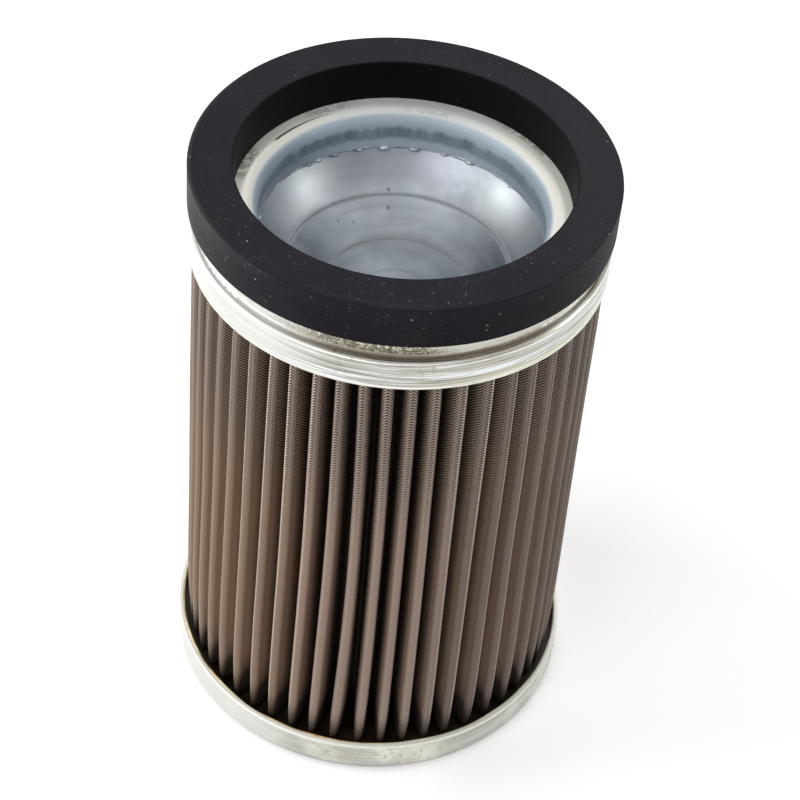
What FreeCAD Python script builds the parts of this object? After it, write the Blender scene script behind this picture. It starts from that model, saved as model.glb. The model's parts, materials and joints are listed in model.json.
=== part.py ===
import FreeCAD
import Part
import Sketcher
import math
import os

# Pleated wire mesh suction strainer, standing on its bottom cap.
# Origin on the axis at the underside of the bottom cap, Z up, millimetres.

doc = FreeCAD.newDocument("PumpStrainer")
sheet = doc.addObject("Spreadsheet::Sheet", "Sizes")

# Driving dimensions: name, value, what it measures
drivingSizes = [
    ("seat_height", "133.8", "top face of the top cap above the base"),
    ("skirt_radius", "44.7", "outside of the skirt over the pleats"),
    ("gasket_overhang", "0.3", "rubber ring, outside of the skirt"),
    ("gasket_width", "9.4", "rubber ring, from its bore to its outside"),
    ("gasket_thickness", "9.7", "rubber ring, height"),
    ("gasket_edge_round", "0.3", "rubber ring, edges"),
    ("cap_sheet", "0.7", "sheet thickness of the top cap"),
    ("shoulder_inset", "1.3", "seat's shoulder, inside of the skirt"),
    ("shoulder_round", "2.2", "rounding of the shoulder"),
    ("waist_inset", "2.1", "bottom of the groove, inside of the skirt"),
    ("waist_depth", "4.5", "seat down to the ledge of the skirt"),
    ("waist_round", "0.8", "rounding in the groove"),
    ("skirt_length", "7.0", "ledge down to the lower edge of the skirt"),
    ("skirt_round", "1.1", "rounding of the skirt's upper edge"),
    ("neck_inset", "5.2", "neck, inside of the rubber ring's bore"),
    ("neck_depth", "9.3", "seat down to the lower edge of the neck"),
    ("neck_round", "3.5", "lip between the seat and the neck"),
    ("dish_sheet", "0.7", "sheet thickness of the closing dish"),
    ("dish_fit", "0.1", "clearance between the neck and the dish"),
    ("dish_sleeve", "3.0", "length of the dish's rim up the neck"),
    ("dish_drop", "0.5", "straight rim below the edge of the neck"),
    ("dish_wall_arc", "30.0", "curve of the dish from its rim to the draw ring"),
    ("draw_ring_inset", "6.2", "outer draw ring of the dish, inside of the neck"),
    ("draw_ring_depth", "8.2", "outer draw ring below the neck"),
    ("dish_floor_arc", "35.0", "curve of the dish between its two rings"),
    ("floor_ring_inset", "14.9", "inner draw ring of the dish, inside of the neck"),
    ("floor_ring_depth", "13.8", "inner draw ring below the neck"),
    ("draw_step", "0.35", "height of the step at each draw ring"),
    ("dish_depth", "17.2", "middle of the dish below the neck"),
    ("tube_sheet", "0.8", "wall of the support tube"),
    ("tube_fit", "0.2", "clearance inside the support tube"),
    ("tube_hole_radius", "3.5", "holes of the support tube"),
    ("tube_hole_rows", "7", "rows of holes"),
    ("tube_hole_columns", "12", "holes round the tube"),
    ("tube_end_margin", "22.0", "middle of the first and last row from the tube's ends"),
    ("pleat_count", "52", "pleats round the pack"),
    ("cloth_thickness", "0.5", "thickness of the wire cloth"),
    ("outer_fold_radius", "1.2", "outside of the bend at a pleat's tip"),
    ("inner_fold_radius", "0.9", "outside of the bend at a pleat's root"),
    ("pleat_tip_fit", "0.2", "clearance of the tips in the skirt"),
    ("pleat_root_fit", "0.3", "clearance of the roots round the tube"),
    ("clip_sheet", "0.4", "sheet thickness of the seam clip"),
    ("clip_fit", "0.25", "clearance of the clip over its pleat"),
    ("clip_leg", "3.6", "length of the clip's legs"),
    ("clip_below_skirt", "0.6", "end of the clip below the skirt"),
    ("base_sheet", "0.7", "sheet thickness of the bottom cap"),
    ("rim_overhang", "2.0", "bottom cap's rim, outside of the skirt"),
    ("base_rim_height", "8.8", "height of the rim"),
    ("base_rim_round", "1.8", "rounding of the rim's lower edge"),
    ("outlet_collar", "8.0", "height of the outlet collar"),
    ("outlet_round", "1.4", "rounding at the foot of the collar"),
    ("bond_fit", "0.1", "clearance of the bond rings at curved walls"),
    ("bond_chamfer", "1.2", "cut corners of the bond rings"),
    ("base_bond_height", "4.8", "bond ring in the bottom cap"),
    ("skirt_bond_recess", "3.2", "bond ring above the skirt's lower edge"),
    ("bond_step_fit", "0.3", "bond ring beside the bends under the seat"),
]

for row, (alias, value, meaning) in enumerate(drivingSizes, start=1):
    sheet.set("A%d" % row, alias)
    sheet.set("B%d" % row, value)
    sheet.set("C%d" % row, meaning)
    sheet.setAlias("B%d" % row, alias)
doc.recompute()

# Heights and radii that several pieces share
gasketTop = "(Sizes.seat_height + Sizes.gasket_thickness)"
gasketOutside = "(Sizes.skirt_radius + Sizes.gasket_overhang)"
gasketInside = "(" + gasketOutside + " - Sizes.gasket_width)"
seatUnderside = "(Sizes.seat_height - Sizes.cap_sheet)"
ledgeHeight = "(Sizes.seat_height - Sizes.waist_depth)"
skirtEdge = "(Sizes.seat_height - Sizes.waist_depth - Sizes.skirt_length)"
skirtInside = "(Sizes.skirt_radius - Sizes.cap_sheet)"
shoulderRadius = "(Sizes.skirt_radius - Sizes.shoulder_inset)"
waistRadius = "(Sizes.skirt_radius - Sizes.waist_inset)"
neckEdge = "(Sizes.seat_height - Sizes.neck_depth)"
neckInside = "(" + gasketInside + " - Sizes.neck_inset)"
neckOutside = "(" + neckInside + " + Sizes.cap_sheet)"
drawRing = "(" + neckInside + " - Sizes.draw_ring_inset)"
floorRing = "(" + neckInside + " - Sizes.floor_ring_inset)"
sleeveInside = "(" + neckOutside + " + Sizes.dish_fit)"
sleeveOutside = "(" + sleeveInside + " + Sizes.dish_sheet)"
tubeInside = "(" + sleeveOutside + " + Sizes.tube_fit)"
tubeOutside = "(" + tubeInside + " + Sizes.tube_sheet)"
tubeTop = "(" + seatUnderside + " - Sizes.neck_round)"
firstRow = "(Sizes.outlet_round + Sizes.tube_end_margin)"
rowPitch = "((" + tubeTop + " - Sizes.tube_end_margin - " + firstRow + ") / (Sizes.tube_hole_rows - 1))"
collarOutside = "(" + tubeInside + " - Sizes.tube_fit)"
collarInside = "(" + collarOutside + " - Sizes.base_sheet)"
rimOutside = "(Sizes.skirt_radius + Sizes.rim_overhang)"
rimInside = "(" + rimOutside + " - Sizes.base_sheet)"
pleatBottom = "(Sizes.base_sheet + Sizes.base_bond_height)"
pleatTop = "(" + skirtEdge + " + Sizes.skirt_bond_recess)"
tipCentre = "(" + skirtInside + " - Sizes.pleat_tip_fit - Sizes.outer_fold_radius)"
rootCentre = "(" + tubeOutside + " + Sizes.pleat_root_fit + Sizes.inner_fold_radius)"
pleatLength = "(" + pleatTop + " - " + pleatBottom + ")"
halfPitch = "(180 / Sizes.pleat_count)"


def addBody(name):
    body = doc.addObject("PartDesign::Body", name)
    body.Label = name
    return body


def originFeature(body, role):
    for feature in body.Origin.OriginFeatures:
        if feature.Role == role:
            return feature
    raise RuntimeError("no " + role + " in " + body.Label)


def addSketch(body, name, role):
    sketch = body.newObject("Sketcher::SketchObject", name)
    sketch.AttachmentSupport = (originFeature(body, role), [""])
    sketch.MapMode = "FlatFace"
    return sketch


# Holds one point of a sketch by two expressions, across and up from the origin;
# a leading minus puts it on the far side of the origin
def holdPoint(sketch, geometry, position, across, up):
    for kind, axis, expression in (("DistanceX", -2, across), ("DistanceY", -1, up)):
        if expression == "0":
            sketch.addConstraint(Sketcher.Constraint("PointOnObject", geometry, position, axis))
            continue
        ends = [-1, 1, geometry, position]
        if expression.startswith("-"):
            ends = [geometry, position, -1, 1]
        index = sketch.addConstraint(Sketcher.Constraint(kind, *ends, 10.0))
        sketch.setExpression("Constraints[%d]" % index, expression.lstrip("-"))


def solvedPoint(sketch, point):
    place = sketch.Geometry[point]
    return FreeCAD.Vector(place.X, place.Y, 0)


def cellValue(alias):
    return float(sheet.get(alias))


# Arc between two points with the given radius; side 1 has its centre on the left of
# the way from first to last, side -1 on the right
def arcBetween(first, last, radius, side):
    middle = (first + last) * 0.5
    half = first.distanceToPoint(last) / 2
    along = (last - first).normalize()
    toCentre = FreeCAD.Vector(-along.y, along.x, 0) * side
    centre = middle + toCentre * math.sqrt(max(radius * radius - half * half, 0.0))
    ends = (first, last) if side > 0 else (last, first)
    angles = [math.atan2(end.y - centre.y, end.x - centre.x) for end in ends]
    return Part.ArcOfCircle(Part.Circle(centre, FreeCAD.Vector(0, 0, 1), radius), *angles)


# Closed profile through corners that are held by expressions. Arcs are given by
# the number of their first corner, with a radius expression and the centre's side.
# An arc with no radius is a half circle where its ends are level, and otherwise has
# its centre on the axis.
def addProfile(sketch, corners, arcs=None):
    arcs = arcs or {}
    points = []
    for number, (across, up) in enumerate(corners):
        signs = [-1 if expression.startswith("-") else 1 for expression in (across, up)]
        start = FreeCAD.Vector(signs[0] * (30 + number), signs[1] * (30 + number), 0)
        point = sketch.addGeometry(Part.Point(start), True)
        holdPoint(sketch, point, 1, across, up)
        points.append(point)
    doc.recompute()
    solved = [solvedPoint(sketch, point) for point in points]
    for number, first in enumerate(points):
        following = (number + 1) % len(points)
        if number in arcs:
            radius, side = arcs[number]
            addArc(sketch, solved[number], solved[following], (first, points[following]), radius, side)
            continue
        line = sketch.addGeometry(Part.LineSegment(solved[number], solved[following]), False)
        sketch.addConstraint(Sketcher.Constraint("Coincident", line, 1, first, 1))
        sketch.addConstraint(Sketcher.Constraint("Coincident", line, 2, points[following], 1))
    doc.recompute()
    return solved


def addArc(sketch, first, last, ends, radius, side):
    halfCircle = abs(first.x - last.x) < 1e-6
    if radius:
        size = cellValue(radius.split(".")[-1])
    elif halfCircle:
        size = abs(first.y - last.y) / 2
    else:
        rise = abs(first.y - last.y)
        reach = abs(first.x - last.x)
        size = (reach * reach + rise * rise) / (2 * rise)
    arc = sketch.addGeometry(arcBetween(first, last, size, side), False)
    near, far = (1, 2) if side > 0 else (2, 1)
    sketch.addConstraint(Sketcher.Constraint("Coincident", arc, near, ends[0], 1))
    sketch.addConstraint(Sketcher.Constraint("Coincident", arc, far, ends[1], 1))
    if radius:
        index = sketch.addConstraint(Sketcher.Constraint("Radius", arc, size))
        sketch.setExpression("Constraints[%d]" % index, radius)
    elif halfCircle:
        sketch.addConstraint(Sketcher.Constraint("Vertical", arc, 3, ends[0], 1))
    else:
        sketch.addConstraint(Sketcher.Constraint("PointOnObject", arc, 3, -2))


def revolve(body, sketch):
    revolution = body.newObject("PartDesign::Revolution", body.Label + "_turn")
    revolution.Profile = sketch
    revolution.ReferenceAxis = (sketch, ["V_Axis"])
    revolution.Angle = 360.0
    sketch.Visibility = False
    doc.recompute()
    return revolution


# Rounds the circular edges that run through the given corners of a turned profile
def roundCorners(body, corners, radius):
    base = body.Tip
    names = []
    for number, edge in enumerate(base.Shape.Edges, start=1):
        if not isinstance(edge.Curve, Part.Circle):
            continue
        for corner in corners:
            sameRadius = abs(edge.Curve.Radius - corner.x) < 1e-4
            sameHeight = abs(edge.Curve.Center.z - corner.y) < 1e-4
            if sameRadius and sameHeight:
                names.append("Edge%d" % number)
    fillet = body.newObject("PartDesign::Fillet", body.Label + "_round")
    fillet.Base = (base, names)
    fillet.setExpression("Radius", radius)
    doc.recompute()
    return fillet


# Rubber ring with square edges, seated on the top cap
def makeGasket():
    body = addBody("gasket")
    corners = [
        (gasketInside, "Sizes.seat_height"),
        (gasketOutside, "Sizes.seat_height"),
        (gasketOutside, gasketTop),
        (gasketInside, gasketTop),
    ]
    sketch = addSketch(body, "gasket_section", "XZ_Plane")
    solved = addProfile(sketch, corners)
    revolve(body, sketch)
    roundCorners(body, solved, "Sizes.gasket_edge_round")
    return body


# Pressed cap: neck, rounded lip, flat seat, shoulder, groove and skirt from one sheet
def makeTopCap():
    body = addBody("top_end_cap")
    corners = [
        (neckInside, neckEdge),
        (neckOutside, neckEdge),
        (neckOutside, seatUnderside),
        (shoulderRadius + " - Sizes.cap_sheet", seatUnderside),
        (waistRadius + " - Sizes.cap_sheet", ledgeHeight + " - Sizes.cap_sheet"),
        (skirtInside, ledgeHeight + " - Sizes.cap_sheet"),
        (skirtInside, skirtEdge),
        ("Sizes.skirt_radius", skirtEdge),
        ("Sizes.skirt_radius", ledgeHeight),
        (waistRadius, ledgeHeight),
        (shoulderRadius, "Sizes.seat_height"),
        (neckInside, "Sizes.seat_height"),
    ]
    sketch = addSketch(body, "top_end_cap_section", "XZ_Plane")
    solved = addProfile(sketch, corners)
    revolve(body, sketch)
    roundCorners(body, [solved[11]], "Sizes.neck_round")
    roundCorners(body, [solved[2]], "Sizes.neck_round - Sizes.cap_sheet")
    roundCorners(body, [solved[10]], "Sizes.shoulder_round")
    roundCorners(body, [solved[3]], "Sizes.shoulder_round - Sizes.cap_sheet")
    roundCorners(body, [solved[9]], "Sizes.waist_round")
    roundCorners(body, [solved[4]], "Sizes.waist_round + Sizes.cap_sheet")
    roundCorners(body, [solved[8]], "Sizes.skirt_round")
    roundCorners(body, [solved[5]], "Sizes.skirt_round - Sizes.cap_sheet")
    return body


# Drawn dish that closes the neck: rim sleeve, curved wall and floor with two draw rings
def makeClosingDish():
    body = addBody("closing_dish")
    ringStep = "Sizes.draw_step / 2"
    corners = [
        (sleeveInside, neckEdge + " + Sizes.dish_sleeve"),
        (sleeveInside, neckEdge + " - Sizes.dish_drop"),
        (drawRing, neckEdge + " - Sizes.draw_ring_depth"),
        (drawRing + " - " + ringStep, neckEdge + " - Sizes.draw_ring_depth - Sizes.draw_step"),
        (floorRing, neckEdge + " - Sizes.floor_ring_depth"),
        (floorRing + " - " + ringStep, neckEdge + " - Sizes.floor_ring_depth - " + ringStep),
        ("0", neckEdge + " - Sizes.dish_depth"),
        ("0", neckEdge + " - Sizes.dish_depth - Sizes.dish_sheet"),
        (floorRing, neckEdge + " - Sizes.floor_ring_depth - Sizes.draw_step - Sizes.dish_sheet"),
        (drawRing, neckEdge + " - Sizes.draw_ring_depth - Sizes.draw_step - Sizes.dish_sheet"),
        (sleeveOutside, neckEdge + " - Sizes.dish_drop - Sizes.dish_sheet"),
        (sleeveOutside, neckEdge + " + Sizes.dish_sleeve"),
    ]
    arcs = {
        1: ("Sizes.dish_wall_arc", -1),
        3: ("Sizes.dish_floor_arc", -1),
        5: (None, -1),
        7: (None, 1),
        8: ("Sizes.dish_floor_arc", 1),
        9: ("Sizes.dish_wall_arc", 1),
    }
    sketch = addSketch(body, "closing_dish_section", "XZ_Plane")
    addProfile(sketch, corners, arcs)
    revolve(body, sketch)
    return body


# Fillet of solder in the corner between the neck's edge and the dish
def makeSolderSeam():
    body = addBody("solder_seam")
    corners = [
        (neckInside, neckEdge),
        (sleeveInside, neckEdge + " - Sizes.dish_drop"),
        (sleeveInside, neckEdge),
    ]
    sketch = addSketch(body, "solder_seam_section", "XZ_Plane")
    addProfile(sketch, corners)
    revolve(body, sketch)
    return body


# Perforated tube over the outlet collar and the dish, which carries the roots of the pleats
def makeSupportTube():
    body = addBody("support_tube")
    corners = [
        (tubeInside, "Sizes.outlet_round"),
        (tubeOutside, "Sizes.outlet_round"),
        (tubeOutside, tubeTop),
        (tubeInside, tubeTop),
    ]
    wall = addSketch(body, "support_tube_section", "XZ_Plane")
    addProfile(wall, corners)
    revolve(body, wall)
    column = addSketch(body, "support_tube_column", "XZ_Plane")
    holeRadius = cellValue("tube_hole_radius")
    for row in range(int(cellValue("tube_hole_rows"))):
        centre = FreeCAD.Vector(0, 4 * holeRadius * (row + 1), 0)
        circle = column.addGeometry(Part.Circle(centre, FreeCAD.Vector(0, 0, 1), holeRadius), False)
        holdPoint(column, circle, 3, "0", firstRow + " + %d * " % row + rowPitch)
        index = column.addConstraint(Sketcher.Constraint("Radius", circle, holeRadius))
        column.setExpression("Constraints[%d]" % index, "Sizes.tube_hole_radius")
    doc.recompute()
    holes = body.newObject("PartDesign::Pocket", "support_tube_holes")
    holes.Profile = column
    holes.Type = "Length"
    holes.setExpression("Length", tubeOutside + " * 1.5")
    column.Visibility = False
    doc.recompute()
    pattern = body.newObject("PartDesign::PolarPattern", "support_tube_hole_columns")
    pattern.Originals = [holes]
    pattern.Axis = (originFeature(body, "Z_Axis"), [""])
    pattern.Angle = 360.0
    pattern.setExpression("Occurrences", "Sizes.tube_hole_columns")
    body.Tip = pattern
    doc.recompute()
    return body


# Cast ring of adhesive between the support tube and a cap, given by its section
def makeBondRing(name, corners):
    body = addBody(name)
    sketch = addSketch(body, name + "_section", "XZ_Plane")
    addProfile(sketch, corners)
    revolve(body, sketch)
    return body


def makeTopBond():
    inner = tubeOutside + " + Sizes.bond_fit"
    outer = skirtInside + " - Sizes.bond_fit"
    ledgeUnderside = ledgeHeight + " - Sizes.cap_sheet"
    upperInner = neckInside + " + Sizes.neck_round + Sizes.bond_step_fit"
    upperOuter = shoulderRadius + " - Sizes.shoulder_round - Sizes.bond_step_fit"
    corners = [
        (inner, pleatTop),
        (outer, pleatTop),
        (outer, ledgeUnderside + " - Sizes.bond_chamfer"),
        (outer + " - Sizes.bond_chamfer", ledgeUnderside),
        (upperOuter, ledgeUnderside),
        (upperOuter, seatUnderside),
        (upperInner, seatUnderside),
        (upperInner, ledgeUnderside),
        (inner, ledgeUnderside),
    ]
    return makeBondRing("top_bond_ring", corners)


def makeBottomBond():
    inner = tubeOutside + " + Sizes.bond_fit"
    outer = rimInside + " - Sizes.bond_fit"
    corners = [
        (inner, "Sizes.base_sheet"),
        (outer + " - Sizes.bond_chamfer", "Sizes.base_sheet"),
        (outer, "Sizes.base_sheet + Sizes.bond_chamfer"),
        (outer, pleatBottom),
        (inner, pleatBottom),
    ]
    return makeBondRing("bottom_bond_ring", corners)


# Shallow cup with a rim outside the pleats and the outlet collar turned up inside
def makeBottomCap():
    body = addBody("bottom_end_cap")
    corners = [
        (collarInside, "0"),
        (rimOutside, "0"),
        (rimOutside, "Sizes.base_rim_height"),
        (rimInside, "Sizes.base_rim_height"),
        (rimInside, "Sizes.base_sheet"),
        (collarOutside, "Sizes.base_sheet"),
        (collarOutside, "Sizes.outlet_collar"),
        (collarInside, "Sizes.outlet_collar"),
    ]
    sketch = addSketch(body, "bottom_end_cap_section", "XZ_Plane")
    solved = addProfile(sketch, corners)
    revolve(body, sketch)
    roundCorners(body, [solved[1]], "Sizes.base_rim_round")
    roundCorners(body, [solved[4]], "Sizes.base_rim_round - Sizes.base_sheet")
    roundCorners(body, [solved[0]], "Sizes.outlet_round")
    roundCorners(body, [solved[5]], "Sizes.outlet_round - Sizes.base_sheet")
    return body


# Point half a pitch above or below the middle line, at a distance from the axis
def addRayPoint(sketch, distance, side):
    point = sketch.addGeometry(Part.Point(FreeCAD.Vector(30, 3 * side, 0)), True)
    across = sketch.addConstraint(Sketcher.Constraint("DistanceX", -1, 1, point, 1, 30.0))
    if side > 0:
        up = sketch.addConstraint(Sketcher.Constraint("DistanceY", -1, 1, point, 1, 3.0))
    else:
        up = sketch.addConstraint(Sketcher.Constraint("DistanceY", point, 1, -1, 1, 3.0))
    sketch.setExpression("Constraints[%d]" % across, distance + " * cos(" + halfPitch + ")")
    sketch.setExpression("Constraints[%d]" % up, distance + " * sin(" + halfPitch + ")")
    return point


# Arc about a held point, with its radius bound to the sizes
def addBend(sketch, point, centre, angles, radius, expression):
    circle = Part.Circle(centre, FreeCAD.Vector(0, 0, 1), radius)
    arc = sketch.addGeometry(Part.ArcOfCircle(circle, *angles), False)
    sketch.addConstraint(Sketcher.Constraint("Coincident", arc, 3, point, 1))
    index = sketch.addConstraint(Sketcher.Constraint("Radius", arc, radius))
    sketch.setExpression("Constraints[%d]" % index, expression)
    return arc


# One pleat as a sketch: the bend at the tip, two flanks and half of each root bend,
# drawn once for each face of the cloth and closed on the rays half a pitch away
def drawPleat(sketch):
    tipPoint = sketch.addGeometry(Part.Point(FreeCAD.Vector(40, 0, 0)), True)
    holdPoint(sketch, tipPoint, 1, tipCentre, "0")
    rootPoints = {side: addRayPoint(sketch, rootCentre, side) for side in (1, -1)}
    doc.recompute()
    tip = solvedPoint(sketch, tipPoint)
    root = solvedPoint(sketch, rootPoints[1])
    cloth = cellValue("cloth_thickness")
    foldSum = cellValue("outer_fold_radius") + cellValue("inner_fold_radius") - cloth
    toRoot = root - tip
    ray = math.atan2(root.y, root.x)
    normal = math.atan2(toRoot.y, toRoot.x) - math.acos(foldSum / toRoot.Length)
    rays = {}
    for side in (1, -1):
        rayEnd = FreeCAD.Vector(root.x, side * root.y, 0)
        rays[side] = sketch.addGeometry(Part.LineSegment(FreeCAD.Vector(0, 0, 0), rayEnd), True)
        sketch.addConstraint(Sketcher.Constraint("Coincident", rays[side], 1, -1, 1))
        sketch.addConstraint(Sketcher.Constraint("Coincident", rays[side], 2, rootPoints[side], 1))
    ends = {1: [], -1: []}
    for tipThinner, rootThinner in ((0.0, cloth), (cloth, 0.0)):
        tipBend = cellValue("outer_fold_radius") - tipThinner
        rootBend = cellValue("inner_fold_radius") - rootThinner
        tipExpression = "Sizes.outer_fold_radius" + (" - Sizes.cloth_thickness" if tipThinner else "")
        rootExpression = "Sizes.inner_fold_radius" + (" - Sizes.cloth_thickness" if rootThinner else "")
        tipArc = addBend(sketch, tipPoint, tip, (-normal, normal), tipBend, tipExpression)
        for side in (1, -1):
            centre = FreeCAD.Vector(root.x, side * root.y, 0)
            angles = (ray + math.pi, normal + math.pi)
            if side < 0:
                angles = (math.pi - normal, math.pi - ray)
            rootArc = addBend(sketch, rootPoints[side], centre, angles, rootBend, rootExpression)
            touch = FreeCAD.Vector(math.cos(normal), side * math.sin(normal), 0)
            segment = Part.LineSegment(tip + touch * tipBend, centre - touch * rootBend)
            line = sketch.addGeometry(segment, False)
            tipEnd, touchEnd, rayEnd = (2, 2, 1) if side > 0 else (1, 1, 2)
            sketch.addConstraint(Sketcher.Constraint("Tangent", line, 1, tipArc, tipEnd))
            sketch.addConstraint(Sketcher.Constraint("Tangent", line, 2, rootArc, touchEnd))
            sketch.addConstraint(Sketcher.Constraint("PointOnObject", rootArc, rayEnd, rays[side]))
            ends[side].append((rootArc, rayEnd))
    for side in (1, -1):
        first, last = [sketch.getPoint(arc, end) for arc, end in ends[side]]
        closing = sketch.addGeometry(Part.LineSegment(first, last), False)
        for position, (arc, end) in enumerate(ends[side], start=1):
            sketch.addConstraint(Sketcher.Constraint("Coincident", closing, position, arc, end))


# Pleated cloth: one pleat raised to the full length and repeated round the axis
def makeFilterMesh():
    body = addBody("filter_mesh")
    sketch = addSketch(body, "filter_mesh_pleat", "XY_Plane")
    sketch.setExpression("AttachmentOffset.Base.z", pleatBottom)
    drawPleat(sketch)
    doc.recompute()
    pleat = body.newObject("PartDesign::Pad", "filter_mesh_length")
    pleat.Profile = sketch
    pleat.setExpression("Length", pleatLength)
    sketch.Visibility = False
    doc.recompute()
    pattern = body.newObject("PartDesign::PolarPattern", "filter_mesh_pleats")
    pattern.Originals = [pleat]
    pattern.Axis = (originFeature(body, "Z_Axis"), [""])
    pattern.Angle = 360.0
    pattern.setExpression("Occurrences", "Sizes.pleat_count")
    body.Tip = pattern
    doc.recompute()
    return body


# Channel strip folded over one tip at the back, which joins the two ends of the cloth
def makeSeamClip():
    body = addBody("seam_clip")
    inside = "(Sizes.outer_fold_radius + Sizes.clip_fit)"
    outside = "(Sizes.outer_fold_radius + Sizes.clip_fit + Sizes.clip_sheet)"
    legEnd = "(" + tipCentre + " - Sizes.clip_leg)"
    foldSum = "(Sizes.outer_fold_radius + Sizes.inner_fold_radius - Sizes.cloth_thickness)"
    flankRise = "(" + rootCentre + " * sin(" + halfPitch + ") - " + foldSum + ")"
    flankReach = "(" + tipCentre + " - " + rootCentre + " * cos(" + halfPitch + "))"
    splay = " + Sizes.clip_leg * " + flankRise + " / " + flankReach
    corners = [
        (legEnd, outside + splay),
        (tipCentre, outside),
        (tipCentre, "-" + outside),
        (legEnd, "-(" + outside + splay + ")"),
        (legEnd, "-(" + inside + splay + ")"),
        (tipCentre, "-" + inside),
        (tipCentre, inside),
        (legEnd, inside + splay),
    ]
    sketch = addSketch(body, "seam_clip_section", "XY_Plane")
    sketch.setExpression("AttachmentOffset.Base.z", pleatBottom)
    addProfile(sketch, corners, {1: (None, -1), 5: (None, 1)})
    strip = body.newObject("PartDesign::Pad", "seam_clip_length")
    strip.Profile = sketch
    strip.setExpression("Length", skirtEdge + " - Sizes.clip_below_skirt - " + pleatBottom)
    sketch.Visibility = False
    body.Placement = FreeCAD.Placement(FreeCAD.Vector(0, 0, 0), FreeCAD.Rotation(90, 0, 0))
    quarterTurn = "round(Sizes.pleat_count / 4) * 360 / Sizes.pleat_count"
    body.setExpression("Placement.Rotation.Angle", quarterTurn)
    doc.recompute()
    return body


makers = [
    makeGasket,
    makeTopCap,
    makeClosingDish,
    makeSolderSeam,
    makeSupportTube,
    makeTopBond,
    makeBottomBond,
    makeFilterMesh,
    makeSeamClip,
    makeBottomCap,
]
pieces = [maker() for maker in makers]

for piece in doc.Objects:
    if "Invalid" in piece.State or "Error" in piece.State:
        raise RuntimeError(piece.Label + " did not build")
os.makedirs("parts", exist_ok=True)
for piece in pieces:
    if piece.Shape.isNull() or not piece.Shape.isValid():
        raise RuntimeError(piece.Label + " has no valid shape")
    piece.Shape.exportStep("parts/" + piece.Label + ".step")
    box = piece.Shape.BoundBox
    print("%s volume %.0f mm3, solids %d, z %.2f to %.2f, radius %.2f"
          % (piece.Label, piece.Shape.Volume, len(piece.Shape.Solids), box.ZMin, box.ZMax, box.XMax))
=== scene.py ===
import bmesh
import bpy
import json
import math
from mathutils import Matrix, Vector, noise


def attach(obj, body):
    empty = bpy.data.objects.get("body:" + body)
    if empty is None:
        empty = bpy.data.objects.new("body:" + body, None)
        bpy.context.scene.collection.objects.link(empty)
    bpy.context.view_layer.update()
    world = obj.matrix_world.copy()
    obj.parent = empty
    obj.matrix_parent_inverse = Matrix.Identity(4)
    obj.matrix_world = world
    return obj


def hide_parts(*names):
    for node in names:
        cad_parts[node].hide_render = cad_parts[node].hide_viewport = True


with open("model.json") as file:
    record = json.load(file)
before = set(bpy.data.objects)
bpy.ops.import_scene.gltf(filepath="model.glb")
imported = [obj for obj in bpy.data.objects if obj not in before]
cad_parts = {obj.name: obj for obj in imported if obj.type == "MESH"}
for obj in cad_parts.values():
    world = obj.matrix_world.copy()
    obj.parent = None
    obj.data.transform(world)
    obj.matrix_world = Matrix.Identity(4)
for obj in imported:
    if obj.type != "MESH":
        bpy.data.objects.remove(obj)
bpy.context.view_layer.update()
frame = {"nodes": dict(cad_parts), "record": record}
nodes = frame["nodes"]
mm = 0.001
scene = bpy.context.scene
print("frame loaded:", len(nodes), "nodes")


# A shader socket that takes part in sums, so node maths reads as arithmetic
class Wire:
    def __init__(self, finish, socket):
        self.finish = finish
        self.socket = socket

    def __add__(self, other):
        return self.finish.calc("ADD", self, other)

    def __radd__(self, other):
        return self.finish.calc("ADD", other, self)

    def __sub__(self, other):
        return self.finish.calc("SUBTRACT", self, other)

    def __rsub__(self, other):
        return self.finish.calc("SUBTRACT", other, self)

    def __mul__(self, other):
        return self.finish.calc("MULTIPLY", self, other)

    def __rmul__(self, other):
        return self.finish.calc("MULTIPLY", other, self)

    def __pow__(self, other):
        return self.finish.calc("POWER", self, other)

    # Another output of the same node
    def also(self, output):
        return Wire(self.finish, self.socket.node.outputs[output])


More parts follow.
